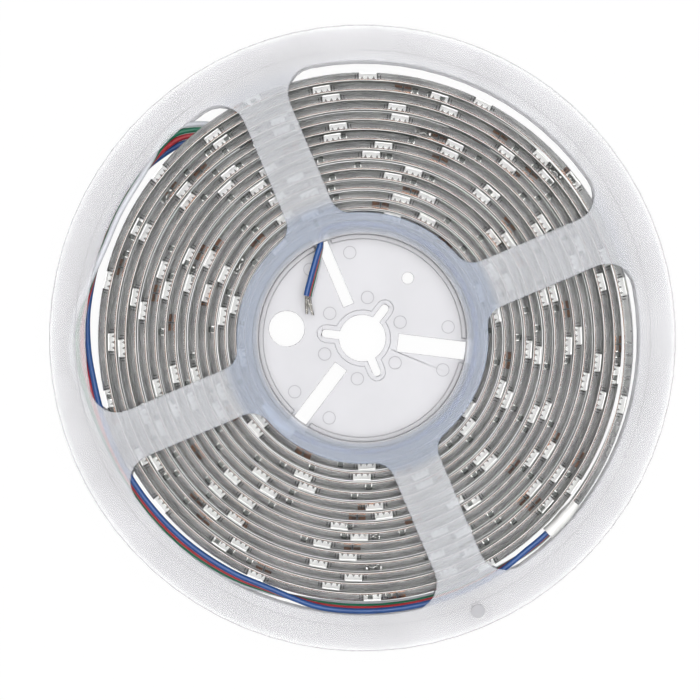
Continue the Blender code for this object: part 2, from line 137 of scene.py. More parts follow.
INNER_LEAD = (
    (206, 0.03330, 0.0087, 180),
    (212, 0.03325, 0.0087, 180),
    (218, 0.03300, 0.0087, 180),
    (224, 0.03265, 0.0087, 180),
    (235, 0.03240, 0.0087, 180),
    (270, 0.03240, 0.0088, 180),
    (320, 0.03240, 0.0093, 180),
    (370, 0.03240, 0.0101, 180),
    (405, 0.03240, 0.0107, 180),
    (425, 0.03250, 0.0109, 180),
    (437, 0.03270, 0.0110, 180),
    (441, 0.03280, 0.0110, 180),
    (444.8, 0.03280, 0.0110, 180),
    (447.8, 0.03220, 0.0110, 180),
    (449.9, 0.03080, 0.0110, 180),
    (451.5, 0.02890, 0.0110, 178),
    (454.2, 0.02727, 0.0111, 174),
    (460.1, 0.02448, 0.0111, 170),
    (468.9, 0.02166, 0.0111, 168),
    (479.4, 0.01952, 0.0111, 168),
)
CORES = ("blue", "red", "green", "white")
ROUTE_SAMPLES = 16
ROUTE_STEP = 0.0012


def polar(distance, bearing, height=0.0):
    return Vector((distance * math.cos(bearing), distance * math.sin(bearing), height))


def smooth_route(stations):
    """Close (point, lean) pairs on a Catmull-Rom curve through a lead's stations."""
    ends = (stations[0], *stations, stations[-1])
    route = []
    for k in range(1, len(ends) - 2):
        near = ends[k - 1:k + 3]
        for sample in range(ROUTE_SAMPLES):
            t = sample / ROUTE_SAMPLES
            weights = (
                (-t + 2 * t ** 2 - t ** 3) / 2,
                (2 - 5 * t ** 2 + 3 * t ** 3) / 2,
                (t + 4 * t ** 2 - 3 * t ** 3) / 2,
                (-t ** 2 + t ** 3) / 2,
            )
            route.append([sum(w * s[i] for w, s in zip(weights, near)) for i in range(4)])
    route.append(stations[-1])
    points = [
        (polar(distance, math.radians(bearing), height), math.radians(lean))
        for bearing, distance, height, lean in route
    ]
    kept = [points[0]]
    for point in points[1:-1]:
        if (point[0] - kept[-1][0]).length >= ROUTE_STEP:
            kept.append(point)
    kept.append(points[-1])
    return kept


def lead_frames(route):
    """Each point of a route with its run and the direction across its four cores."""
    frames = []
    for k, (place, lean) in enumerate(route):
        run = (route[min(k + 1, len(route) - 1)][0] - route[max(k - 1, 0)][0]).normalized()
        left = Vector((0, 0, 1)).cross(run).normalized()
        up = run.cross(left)
        frames.append((place, run, up * math.cos(lean) + left * math.sin(lean)))
    return frames


def core_path(frames, number):
    aside = (number - (len(CORES) - 1) / 2) * CORE_D
    return [place + width * aside for place, _, width in frames]


outer_frames = lead_frames(smooth_route(OUTER_LEAD))
inner_frames = lead_frames(smooth_route(INNER_LEAD))
print(f"{len(outer_frames)} points on the outer lead, {len(inner_frames)} on the inner one")

# %% [markdown]
# Every new piece is finished in the same way: it gets its material and the body that it rides on.
# Meshes are built from rings of vertices, bridged one to the next.

# %% Helpers for new pieces
def link(name, data):
    made = bpy.data.objects.new(name, data)
    bpy.context.scene.collection.objects.link(made)
    return made


def finish_piece(made, material):
    """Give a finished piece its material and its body."""
    made.data.materials.clear()
    made.data.materials.append(material)
    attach(made, "root")
    return made


def mesh_piece(name, bm, smooth_angle=30):
    """Turn a bmesh into an object with faces pointing out and smooth shading up to an angle."""
    bmesh.ops.recalc_face_normals(bm, faces=bm.faces)
    mesh = bpy.data.meshes.new(name)
    bm.to_mesh(mesh)
    bm.free()
    mesh.shade_smooth()
    mesh.set_sharp_from_angle(angle=math.radians(smooth_angle))
    return link(name, mesh)


def around(count):
    """Angles at even steps round a circle."""
    return [math.tau * k / count for k in range(count)]


def ring_loop(bm, points):
    return [bm.verts.new(p) for p in points]


def bridge(bm, lower, upper):
    for k in range(len(lower)):
        after = (k + 1) % len(lower)
        bm.faces.new((lower[k], lower[after], upper[after], upper[k]))


def skin(bm, rings):
    """Bridge a row of rings and close both ends."""
    for near, far in zip(rings, rings[1:]):
        bridge(bm, near, far)
    bm.faces.new(rings[0])
    bm.faces.new(rings[-1])


def path_length(points):
    return sum((b - a).length for a, b in zip(points, points[1:]))


# %% [markdown]
# The materials and the Geometry Nodes trees are all built from nodes in this script. A few helpers keep
# that readable. One links or sets a socket, one links whole nodes in a row, and each of the others makes
# one node and hands on its output, so that the nodes read like a formula.

# %% Helpers for node trees
def feed(tree, socket, value):
    """Link a socket to another node's output, or set it to a plain value."""
    if isinstance(value, bpy.types.NodeSocket):
        tree.links.new(value, socket)
    else:
        socket.default_value = value


def math_node(tree, operation, *values, clamp=False):
    node = tree.nodes.new("ShaderNodeMath")
    node.operation = operation
    node.use_clamp = clamp
    for socket, value in zip(node.inputs, values):
        feed(tree, socket, value)
    return node.outputs[0]


def vector_node(tree, operation, *values, scale=None):
    node = tree.nodes.new("ShaderNodeVectorMath")
    node.operation = operation
    for socket, value in zip(node.inputs, values):
        feed(tree, socket, value)
    if scale is not None:
        feed(tree, node.inputs["Scale"], scale)
    return node.outputs["Value" if operation in ("LENGTH", "DOT_PRODUCT") else "Vector"]


def range_node(tree, value, start, end, low=0.0, high=1.0, kind="SMOOTHSTEP"):
    """Map a value from start and end onto low and high."""
    node = tree.nodes.new("ShaderNodeMapRange")
    node.interpolation_type = kind
    for label, part in (
        ("Value", value), ("From Min", start), ("From Max", end), ("To Min", low), ("To Max", high)
    ):
        feed(tree, node.inputs[label], part)
    return node.outputs[0]


def mix_node(tree, kind, share, first, second):
    node = tree.nodes.new("ShaderNodeMix")
    node.data_type = kind
    for label, part in (("Factor", share), ("A", first), ("B", second)):
        feed(tree, node.inputs[label], part)
    return node.outputs["Result"]


def chain(tree, *nodes):
    """Link each node's first output to the next node's first input."""
    for near, far in zip(nodes, nodes[1:]):
        tree.links.new(near.outputs[0], far.inputs[0])


# %% [markdown]
# Both the plastics and the gel carry the same kind of fine unevenness: a grain that roughens the shine
# and a slow mottling of the colour. That is one node group, placed in each material with its own sizes.

# %% Shared grain and mottle
GRAIN_DETAIL = 2
MOTTLE_DETAIL = 3


def make_grain_group():
    group = bpy.data.node_groups.new("grain_and_mottle", "ShaderNodeTree")
    for name, default in (("Grain Scale", 2500.0), ("Mottle Scale", 60.0), ("Mottle Contrast", 0.5)):
        socket = group.interface.new_socket(name, in_out="INPUT", socket_type="NodeSocketFloat")
        socket.default_value = default
    for name in ("Height", "Mottle"):
        group.interface.new_socket(name, in_out="OUTPUT", socket_type="NodeSocketFloat")
    entry = group.nodes.new("NodeGroupInput")
    leave = group.nodes.new("NodeGroupOutput")
    place = group.nodes.new("ShaderNodeTexCoord")
    noises = []
    for label, detail in (("Grain Scale", GRAIN_DETAIL), ("Mottle Scale", MOTTLE_DETAIL)):
        noise = group.nodes.new("ShaderNodeTexNoise")
        feed(group, noise.inputs["Vector"], place.outputs["Object"])
        feed(group, noise.inputs["Scale"], entry.outputs[label])
        feed(group, noise.inputs["Detail"], detail)
        noises.append(noise.outputs["Fac"])
    spread = math_node(group, "SUBTRACT", noises[1], 0.5)
    gain = math_node(group, "MULTIPLY", spread, entry.outputs["Mottle Contrast"])
    feed(group, leave.inputs["Height"], noises[0])
    feed(group, leave.inputs["Mottle"], math_node(group, "ADD", gain, 0.5, clamp=True))
    return group


GRAIN = make_grain_group()
print(f"grain group: {len(GRAIN.nodes)} nodes")


def new_material(name, **sockets):
    """A Principled material with some sockets set, and its tree."""
    material = bpy.data.materials.new(name)
    material.use_nodes = True
    tree = material.node_tree
    shader = tree.nodes["Principled BSDF"]
    for label, value in sockets.items():
        shader.inputs[label.replace("_", " ")].default_value = value
    return material, tree, shader


def grain_node(tree, grain, mottle, contrast):
    """The grain group, placed with a material's own sizes."""
    group = tree.nodes.new("ShaderNodeGroup")
    group.node_tree = GRAIN
    group.inputs["Grain Scale"].default_value = grain
    group.inputs["Mottle Scale"].default_value = mottle
    group.inputs["Mottle Contrast"].default_value = contrast
    return group


def add_bump(tree, shader, height, depth):
    bump = tree.nodes.new("ShaderNodeBump")
    bump.inputs["Distance"].default_value = depth
    tree.links.new(height, bump.inputs["Height"])
    tree.links.new(bump.outputs["Normal"], shader.inputs["Normal"])


def grained(name, dark, light, grain, mottle, contrast, depth, **sockets):
    """A material whose colour drifts from dark to light and whose surface has a fine grain."""
    material, tree, shader = new_material(name, **sockets)
    group = grain_node(tree, grain, mottle, contrast)
    colour = mix_node(tree, "RGBA", group.outputs["Mottle"], (*dark, 1), (*light, 1))
    tree.links.new(colour, shader.inputs["Base Color"])
    add_bump(tree, shader, group.outputs["Height"], depth)
    material.diffuse_color = (*light, 1)
    return material


# %% [markdown]
# A core is a plain round tube, so a curve with a round bevel is enough. The cores touch, and the grooves
# between them are what makes the flat lead look like a ribbon. The insulation is soft vinyl with a satin
# shine and a slight mottle, as handled cable has. At a lead's end the tinned strands are bare and twisted.

# %% Cores of the leads
CORE_COLOURS = {
    "blue": ((0.005, 0.038, 0.165), (0.013, 0.080, 0.270)),
    "red": ((0.300, 0.012, 0.022), (0.460, 0.030, 0.040)),
    "green": ((0.004, 0.110, 0.060), (0.010, 0.190, 0.100)),
    "white": ((0.540, 0.560, 0.610), (0.680, 0.690, 0.720)),
}
INSULATION = {
    colour: grained(
        f"{colour}_insulation", dark, light, 2600, 120, 1.2, 0.00001, Roughness=0.42, Coat_Weight=0.1
    )
    for colour, (dark, light) in CORE_COLOURS.items()
}
tinned_strands = grained(
    "tinned_strands", (0.30, 0.29, 0.27), (0.70, 0.68, 0.64), 5000, 600, 2.6, 0.00003,
    Metallic=1.0, Roughness=0.26,
)
STRANDS = 7
STRAND_D = 0.00027
STRAND_SIDES = 6
BARE_LENGTH = 0.0050
BARE_GAP = 0.0001
BARE_RINGS = 22
TWISTS = 2.2
TWIST_TIGHTENING = 0.25
SPLAY_POWER = 1.3


def core_curve(name, points):
    data = bpy.data.curves.new(name, "CURVE")
    data.dimensions = "3D"
    data.bevel_depth = CORE_D / 2
    data.bevel_resolution = 3
    data.use_fill_caps = True
    spline = data.splines.new("POLY")
    spline.points.add(len(points) - 1)
    for target, point in zip(spline.points, points):
        target.co = (*point, 1)
    spline.use_smooth = True
    return link(name, data)


def twisted_end(name, start, run, across, splay):
    """A bundle of tinned strands that leaves a core along its run and is bent aside by splay."""
    through = run.cross(across)
    bm = bmesh.new()
    for strand in range(STRANDS):
        reach = 0 if strand == 0 else STRAND_D
        rings = []
        for k in range(BARE_RINGS + 1):
            share = k / BARE_RINGS
            turn = math.tau * (strand / (STRANDS - 1) + TWISTS * share)
            middle = start + run * BARE_LENGTH * share + splay * share ** SPLAY_POWER
            tight = 1 - TWIST_TIGHTENING * share
            middle += (across * math.cos(turn) + through * math.sin(turn)) * reach * tight
            rings.append(ring_loop(bm, [
                middle + (across * math.cos(a) + through * math.sin(a)) * STRAND_D / 2
                for a in around(STRAND_SIDES)
            ]))
        skin(bm, rings)
    return mesh_piece(name, bm, 60)


def make_lead(name, frames, splays):
    """The four cores of a lead, each with its bare end."""
    _, run, across = frames[-1]
    for number, colour in enumerate(CORES):
        points = core_path(frames, number)
        core = core_curve(f"{name}_{colour}_core", points)
        finish_piece(core, INSULATION[colour])
        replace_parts(core, name)
        bare = twisted_end(
            f"{name}_{colour}_strands", points[-1] + run * BARE_GAP, run, across, splays[number]
        )
        finish_piece(bare, tinned_strands)
        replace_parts(bare, f"{name.split('_')[0]}_bare_end_{number + 1}")
        print(f"{core.name}: {1000 * path_length(points):.0f} mm")


inner_run = inner_frames[-1][1]
inner_left = Vector((0, 0, 1)).cross(inner_run).normalized()
INNER_SPLAYS = [inner_left * s for s in (0.0009, 0.0024, 0.0003, 0.0018)]
OUTER_SPLAYS = [Vector((0, 0, z)) for z in (0.0, 0.0003, 0.0001, 0.0002)]
make_lead("outer_lead", outer_frames, OUTER_SPLAYS)
make_lead("inner_lead", inner_frames, INNER_SPLAYS)

# %% [markdown]
# The strip winds clockwise outward. The middle of the board's outer face is one long spiral curve, and
# everything on the strip follows that curve. Real turns are never perfectly even, so the spiral wavers by
# a tenth of a millimetre, and the whole roll sags a little to one side. Its last third of a turn comes
# loose before the sleeve, and leans over on the way.

# %% Spiral of the board's outer face
START_BEARING = math.radians(195)
TURNS = 14.715
START_R = HUB_OUTER_R + CORE_D + STRIP_T / 2
TURN_PITCH = 0.00284
LAST_TURN_LOOSENING = 0.0006
LOOSE_TURNS = 0.3
SLACK = 0.0004
SLACK_BEARING = math.radians(-113)
LAST_TURN_LEAN = math.radians(8)
SPIRAL_STEPS_PER_TURN = 144
LIGHTS = 150
WAVER_ACROSS = 0.00012
WAVER_UP = 0.00025
WAVER_UP_RATE = 2.3
random.seed(7)
waves = [(random.uniform(1.3, 6.1), random.uniform(0, math.tau)) for _ in range(5)]


def loose_share(turns):
    """0 up to the loose last stretch, rising to 1 at the strip's outer end."""
    return min(max((turns - TURNS) / LOOSE_TURNS + 1, 0), 1)


def loosening(turns):
    share = loose_share(turns)
    return LAST_TURN_LOOSENING * share * share * (3 - 2 * share)


def strip_lean(turns):
    """How far the strip's top edge leans in towards the axis, just before the sleeve."""
    return LAST_TURN_LEAN * math.sin(math.pi * loose_share(turns)) ** 2


def waver(turns, size):
    """A smooth unevenness that fades out at both ends of the winding."""
    fade = min(1, turns, TURNS - turns)
    return size * max(fade, 0) * sum(math.sin(rate * turns + phase) for rate, phase in waves) / len(waves)


def board_face(turns):
    """A point of the board's outer face, half way up the strip."""
    radius = START_R - STRIP_T / 2 + BOARD_T + TURN_PITCH * turns + loosening(turns)
    radius += waver(turns, WAVER_ACROSS)
    height = STRIP_MIDDLE + waver(WAVER_UP_RATE * turns, WAVER_UP)
    slack = polar(SLACK * (turns / TURNS) ** 2, SLACK_BEARING)
    return polar(radius, START_BEARING - math.tau * turns, height) + slack


spiral_steps = round(TURNS * SPIRAL_STEPS_PER_TURN)
spiral = [board_face(TURNS * k / spiral_steps) for k in range(spiral_steps + 1)]
leans = [strip_lean(TURNS * k / spiral_steps) for k in range(spiral_steps + 1)]
spiral_length = path_length(spiral)
light_pitch = spiral_length / LIGHTS
print(f"strip {spiral_length:.3f} m, a light every {1000 * light_pitch:.2f} mm")

# %% [markdown]
# Geometry Nodes suit a strip well: one tree sweeps a section along the spiral, and another sets a small
# item on it at an even spacing. Both turn the curve's normals to Z Up first, so that the strip stands on
# its edge all the way, and the curve's own tilt is added where the last turn leans. Set to Z Up, a
# section's X points inward here, and its Y points down.

# %% Tree that sweeps a section along the winding
CLOSE_TO_ZERO = 0.00001


def geometry_tree(name, inputs):
    """A tree that starts by turning its curve's normals to Z Up."""
    tree = bpy.data.node_groups.new(name, "GeometryNodeTree")
    tree.interface.new_socket("Geometry", in_out="INPUT", socket_type="NodeSocketGeometry")
    for label, kind in inputs:
        tree.interface.new_socket(label, in_out="INPUT", socket_type=kind)
    tree.interface.new_socket("Geometry", in_out="OUTPUT", socket_type="NodeSocketGeometry")
    entry = tree.nodes.new("NodeGroupInput")
    upright = tree.nodes.new("GeometryNodeSetCurveNormal")
    upright.mode = "Z_UP"
    chain(tree, entry, upright)
    return tree, entry, upright, tree.nodes.new("NodeGroupOutput")


def end_tree(tree, entry, leave, last):
    """Turn what a tree made into plain geometry, paint it and hand it on."""
    real = tree.nodes.new("GeometryNodeRealizeInstances")
    paint = tree.nodes.new("GeometryNodeSetMaterial")
    chain(tree, last, real, paint, leave)
    feed(tree, paint.inputs["Material"], entry.outputs["Material"])
    return tree


def make_sweep_tree():
    """Sweeps a half superellipse, or with a high power nearly a rectangle, along a curve."""
    tree, entry, upright, leave = geometry_tree("swept_section", (
        ("Thickness", "NodeSocketFloat"),
        ("Width", "NodeSocketFloat"),
        ("Inset", "NodeSocketFloat"),
        ("Power", "NodeSocketFloat"),
        ("Points", "NodeSocketInt"),
        ("Material", "NodeSocketMaterial"),
    ))

    def calc(*parts):
        return math_node(tree, *parts)

    nodes = tree.nodes
    line = nodes.new("GeometryNodeCurvePrimitiveLine")
    points = nodes.new("GeometryNodeResampleCurve")
    shape = nodes.new("GeometryNodeSetPosition")
    index = nodes.new("GeometryNodeInputIndex")
    share = calc("DIVIDE", index.outputs[0], calc("SUBTRACT", entry.outputs["Points"], 1))
    angle = calc("MULTIPLY", calc("SUBTRACT", share, 0.5), math.pi)
    power = calc("DIVIDE", 2, entry.outputs["Power"])
    across = calc("COSINE", angle)
    rise = calc("SINE", angle)
    bulge = calc("POWER", calc("MAXIMUM", calc("SUBTRACT", across, CLOSE_TO_ZERO), 0), power)
    size = calc("POWER", calc("ABSOLUTE", rise), power)
    half = calc("MULTIPLY", entry.outputs["Width"], 0.5)
    height = calc("MULTIPLY", calc("MULTIPLY", size, calc("SIGN", rise)), half)
    outward = calc("SUBTRACT", calc("MULTIPLY", bulge, entry.outputs["Thickness"]), entry.outputs["Inset"])
    place = nodes.new("ShaderNodeCombineXYZ")
    feed(tree, place.inputs["X"], calc("MULTIPLY", outward, -1))
    feed(tree, place.inputs["Y"], height)
    closed = nodes.new("GeometryNodeSetSplineCyclic")
    closed.inputs["Cyclic"].default_value = True
    sweep = nodes.new("GeometryNodeCurveToMesh")
    sweep.inputs["Fill Caps"].default_value = True
    smooth = nodes.new("GeometryNodeSetShadeSmooth")
    chain(tree, line, points, shape, closed)
    feed(tree, points.inputs["Count"], entry.outputs["Points"])
    feed(tree, shape.inputs["Position"], place.outputs[0])
    chain(tree, upright, sweep, smooth)
    feed(tree, sweep.inputs["Profile Curve"], closed.outputs[0])
    return end_tree(tree, entry, leave, smooth)


SWEEP = make_sweep_tree()
print(f"sweep tree: {len(SWEEP.nodes)} nodes")


# %% Running a tree on the spiral
SAME_POINT = 1e-7


def winding_curve(points):
    data = bpy.data.curves.new("winding", "CURVE")
    data.dimensions = "3D"
    spline = data.splines.new("POLY")
    spline.points.add(len(points) - 1)
    for target, point, lean in zip(spline.points, points, leans):
        target.co = (*point, 1)
        target.tilt = lean
    return link("winding", data)


def run_tree(name, tree, points, smooth_angle=None, **values):
    """Run a tree on a curve through the points and keep the result as a plain mesh."""
    carrier = winding_curve(points)
    modifier = carrier.modifiers.new("tree", "NODES")
    modifier.node_group = tree
    for label, value in values.items():
        modifier[tree.interface.items_tree[label.replace("_", " ")].identifier] = value
    carrier.update_tag()
    bpy.context.view_layer.update()
    dressed = carrier.evaluated_get(bpy.context.evaluated_depsgraph_get())
    mesh = bpy.data.meshes.new_from_object(dressed)
    mesh.name = name
    bpy.data.objects.remove(carrier, do_unlink=True)
    bm = bmesh.new()
    bm.from_mesh(mesh)
    bmesh.ops.remove_doubles(bm, verts=bm.verts, dist=SAME_POINT)
    bmesh.ops.recalc_face_normals(bm, faces=bm.faces)
    bm.to_mesh(mesh)
    bm.free()
    if smooth_angle:
        mesh.shade_smooth()
        mesh.set_sharp_from_angle(angle=math.radians(smooth_angle))
    print(f"{name}: {len(mesh.polygons)} faces")
    return link(name, mesh)


# %% [markdown]
# The strip itself is three layers. On its back is a pale adhesive tape, whose cut edge is the bright thin
# line of each turn. Then comes the flexible board: white on its face, amber where its edge shows. The
# clear gel lies over the board's face as a low dome. It starts a hair inside the board, because an air
# film there would mirror the board away. Real gel is a little cloudy, which adds up over a strip's width.
# A thin grey sheet half way down inside the gel stands for that cloudiness. Its grey is partly painted
# shade, which darkens the gel between the turns.

# %% Finishes of the strip
MASK_WHITE = (0.84, 0.84, 0.82)
MASK_GREY = (0.60, 0.61, 0.61)
EDGE_AMBER = (0.23, 0.115, 0.070)
EDGE_BROWN = (0.12, 0.065, 0.050)
EDGE_FACING_UP = 0.7


def flex_board_material():
    """White solder mask on the flat faces and bare amber film on the cut edges."""
    material, tree, shader = new_material("flex_board", Roughness=0.45)
    drift = grain_node(tree, 1800, 90, 2.4).outputs["Mottle"]
    mask = mix_node(tree, "RGBA", drift, (*MASK_GREY, 1), (*MASK_WHITE, 1))
    film = mix_node(tree, "RGBA", drift, (*EDGE_BROWN, 1), (*EDGE_AMBER, 1))
    facing = tree.nodes.new("ShaderNodeNewGeometry")
    split = tree.nodes.new("ShaderNodeSeparateXYZ")
    feed(tree, split.inputs[0], facing.outputs["Normal"])
    upness = math_node(tree, "ABSOLUTE", split.outputs["Z"])
    is_edge = math_node(tree, "GREATER_THAN", upness, EDGE_FACING_UP)
    feed(tree, shader.inputs["Base Color"], mix_node(tree, "RGBA", is_edge, mask, film))
    return material


flex_board = flex_board_material()
backing_tape = grained(
    "backing_tape", (0.62, 0.61, 0.59), (0.88, 0.88, 0.86), 3000, 150, 1.8, 0.00001,
    Roughness=0.85, Specular_IOR_Level=0.15,
)
# Grey of the haze sheet: the gel's cloudiness, and partly painted shade between the turns.
gel_haze = grained(
    "gel_haze", (0.32, 0.32, 0.32), (0.58, 0.575, 0.57), 900, 110, 2.4, 0.00002,
    Roughness=0.7, Specular_IOR_Level=0.1, Alpha=0.86,
)
silicone_gel = grained(
    "silicone_gel", (0.93, 0.935, 0.94), (0.97, 0.972, 0.978), 420, 70, 1.6, 0.00004,
    Roughness=0.05, IOR=1.41, Transmission_Weight=0.97,
)

# %% Tape, board and gel
TAPE_T = 0.00018
BOARD_NARROWING = 0.0001
GEL_INSET = 0.00003
GEL_NARROWING = 0.0002
GEL_POWER = 2.5
GEL_POINTS = 22
HAZE_GAP = 0.0002
HAZE_T = 0.0001
BLOCK_POWER = 60
BLOCK_POINTS = 8


def block_section(width, inset):
    """Sweep values that make nearly a rectangle."""
    return {"Width": width, "Inset": inset, "Power": BLOCK_POWER, "Points": BLOCK_POINTS}


tape = run_tree(
    "backing_tape", SWEEP, spiral, 30, Thickness=TAPE_T, Material=backing_tape,
    **block_section(STRIP_W, BOARD_T),
)
finish_piece(tape, backing_tape)
board = run_tree(
    "flex_board", SWEEP, spiral, 30, Thickness=BOARD_T - TAPE_T, Material=flex_board,
    **block_section(STRIP_W - BOARD_NARROWING, BOARD_T - TAPE_T),
)
finish_piece(board, flex_board)
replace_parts(board, "led_strip")
gel = run_tree(
    "silicone_coat", SWEEP, spiral, 50, Thickness=COAT_H + GEL_INSET, Width=STRIP_W - GEL_NARROWING,
    Inset=GEL_INSET, Power=GEL_POWER, Points=GEL_POINTS, Material=silicone_gel,
)
finish_piece(gel, silicone_gel)
# The haze sheet's grey is partly painted shade.
haze = run_tree(
    "gel_haze", SWEEP, spiral, 30, Thickness=COAT_H - HAZE_GAP, Material=gel_haze,
    **block_section(HAZE_T, 0.0),
)
finish_piece(haze, gel_haze)

# %% [markdown]
# Lights, resistors and solder points repeat at set distances. The second tree trims the curve to the
# first of them, puts a point at every spacing, and sets one small item on each. An item is modelled in
# millimetres, with X along the run, Y outward from the board and Z up, and it has few faces.

# %% Tree that sets items along the winding
def make_item_tree():
    tree, entry, upright, leave = geometry_tree("items_along", (
        ("First", "NodeSocketFloat"),
        ("Spacing", "NodeSocketFloat"),
        ("Item", "NodeSocketObject"),
        ("Material", "NodeSocketMaterial"),
    ))
    nodes = tree.nodes
    trim = nodes.new("GeometryNodeTrimCurve")
    trim.mode = "LENGTH"
    length = nodes.new("GeometryNodeCurveLength")
    spots = nodes.new("GeometryNodeCurveToPoints")
    spots.mode = "LENGTH"
    turn = nodes.new("FunctionNodeAxesToRotation")
    turn.primary_axis = "X"
    turn.secondary_axis = "Y"
    item = nodes.new("GeometryNodeObjectInfo")
    item.inputs["As Instance"].default_value = True
    place = nodes.new("GeometryNodeInstanceOnPoints")
    chain(tree, upright, trim, spots, place)
    chain(tree, upright, length)
    feed(tree, trim.inputs["Start_001"], entry.outputs["First"])
    feed(tree, trim.inputs["End_001"], length.outputs[0])
    feed(tree, spots.inputs["Length"], entry.outputs["Spacing"])
    feed(tree, turn.inputs["Primary Axis"], spots.outputs["Tangent"])
    outward = vector_node(tree, "SCALE", spots.outputs["Normal"], scale=-1)
    feed(tree, turn.inputs["Secondary Axis"], outward)
    feed(tree, item.inputs["Object"], entry.outputs["Item"])
    feed(tree, place.inputs["Instance"], item.outputs["Geometry"])
    feed(tree, place.inputs["Rotation"], turn.outputs["Rotation"])
    return end_tree(tree, entry, leave, place)


ITEMS = make_item_tree()
MM = 0.001


def add_prism(bm, outline, low, high):
    """A closed outline in X and Y, raised from low to high in Z, in millimetres."""
    lower = ring_loop(bm, [Vector((x, y, low)) * MM for x, y in outline])
    upper = ring_loop(bm, [Vector((x, y, high)) * MM for x, y in outline])
    bm.faces.new(lower)
    bm.faces.new(upper)
    bridge(bm, lower, upper)


def boxes_item(boxes):
    """Several boxes as one item, each as (x0, x1, y0, y1, z0, z1) in millimetres."""
    bm = bmesh.new()
    for x0, x1, y0, y1, z0, z1 in boxes:
        add_prism(bm, ((x0, y0), (x1, y0), (x1, y1), (x0, y1)), z0, z1)
    return bm


def set_items(name, bm, first, spacing, material, smooth_angle=None):
    """Set an item along the winding as one finished piece."""
    item = mesh_piece(f"{name}_item", bm)
    made = run_tree(
        name, ITEMS, spiral, smooth_angle, First=first, Spacing=spacing, Item=item, Material=material
    )
    bpy.data.objects.remove(item, do_unlink=True)
    return finish_piece(made, material)


# %% [markdown]
# A light is a white block 5 mm square with a round window of clear resin in its outer face. On its top
# and bottom sides three notches let the soldered terminals out, and these notches are what the picture
# shows, because the view is from the edge of the strip. The terminals in them are painted dark grey and
# not metallic: partly painted shade in the notches.

# %% Lights
LIGHT_HALF = 2.5
NOTCH_MIDDLES = (-1.65, 0.0, 1.65)
NOTCH_HALF = 0.44
NOTCH_TOP = 0.72
LIGHT_H = 1.85
LIGHT_RISE = 1.2
LIGHT_DRAFT = 0.06
TERMINAL_HALF = 0.34
TERMINAL_H = 0.40
TERMINAL_MIDDLE = 2.28
TERMINAL_HALF_T = 0.18
WINDOW_R = 1.95
WINDOW_CROWN = 0.6
WINDOW_SIDES = 14
light_plastic = grained(
    "light_plastic", (0.93, 0.925, 0.905), (0.97, 0.965, 0.95), 2400, 300, 1.5, 0.00001, Roughness=0.38
)
window_resin = grained(
    "window_resin", (0.62, 0.62, 0.50), (0.78, 0.78, 0.66), 2400, 500, 2.0, 0.00001, Roughness=0.12
)
# Dark grey and not metallic: the terminals' colour is partly painted shade in the notches.
terminals_painted_shade = grained(
    "terminals_painted_shade", (0.10, 0.10, 0.09), (0.26, 0.25, 0.24), 2400, 900, 2.0, 0.00001, Roughness=0.60
)
body_outline = [(-LIGHT_HALF, 0.0)]
for middle in NOTCH_MIDDLES:
    body_outline += [(middle - NOTCH_HALF, 0.0), (middle, NOTCH_TOP), (middle + NOTCH_HALF, 0.0)]
light_top = LIGHT_HALF - LIGHT_DRAFT
body_outline += [(LIGHT_HALF, 0.0), (light_top, LIGHT_H), (-light_top, LIGHT_H)]
light_first = light_pitch / 2
light_body = bmesh.new()
add_prism(light_body, body_outline, LIGHT_RISE - LIGHT_HALF, LIGHT_RISE + LIGHT_HALF)
set_items("light_bodies", light_body, light_first, light_pitch, light_plastic)
terminals = []
for middle in NOTCH_MIDDLES:
    for side in (-1, 1):
        z = LIGHT_RISE + side * TERMINAL_MIDDLE
        terminals.append((
            middle - TERMINAL_HALF, middle + TERMINAL_HALF, 0.0, TERMINAL_H,
            z - TERMINAL_HALF_T, z + TERMINAL_HALF_T,
        ))
set_items(
    "light_terminals", boxes_item(terminals), light_first, light_pitch, terminals_painted_shade
)


def window_item():
    """A low disc on the outer face of the light."""
    bm = bmesh.new()
    rings = []
    for radius, above in ((WINDOW_R, -0.02), (WINDOW_R, 0.02), (WINDOW_R * WINDOW_CROWN, 0.05)):
        rings.append(ring_loop(bm, [
            Vector((radius * math.cos(a), LIGHT_H + above, LIGHT_RISE + radius * math.sin(a))) * MM
            for a in around(WINDOW_SIDES)
        ]))
    skin(bm, rings)
    return bm


set_items("light_windows", window_item(), light_first, light_pitch, window_resin, 40)

# %% [markdown]
# Between the lights sit chip resistors, with a ceramic body and bright ends. Dark marks flank each light.
# These marks stand about a millimetre tall, so that they show from the strip's edge. After every third
# light the board may be cut: there are copper pads on both sides of a printed line.

# %% Small parts of the board
chip_ceramic = grained(
    "chip_ceramic", (0.035, 0.042, 0.038), (0.12, 0.135, 0.12), 2400, 900, 2.0, 0.00001, Roughness=0.45
)
dark_marking = grained(
    "dark_marking", (0.02, 0.02, 0.02), (0.06, 0.06, 0.06), 2400, 400, 1.0, 0.00001, Roughness=0.5
)
bare_copper = grained(
    "bare_copper", (0.16, 0.055, 0.025), (0.62, 0.25, 0.085), 2400, 700, 2.6, 0.00001,
    Metallic=0.4, Roughness=0.45,
)
solder = grained(
    "solder", (0.26, 0.26, 0.25), (0.62, 0.62, 0.60), 3000, 800, 2.4, 0.00003,
    Metallic=1.0, Roughness=0.30,
)
LIGHTS_PER_GROUP = 3
group_pitch = LIGHTS_PER_GROUP * light_pitch
CHIP_L, CHIP_H, CHIP_W = 1.9, 1.10, 1.3
CHIP_END = 0.20
CHIP_END_H = 0.6 * CHIP_H
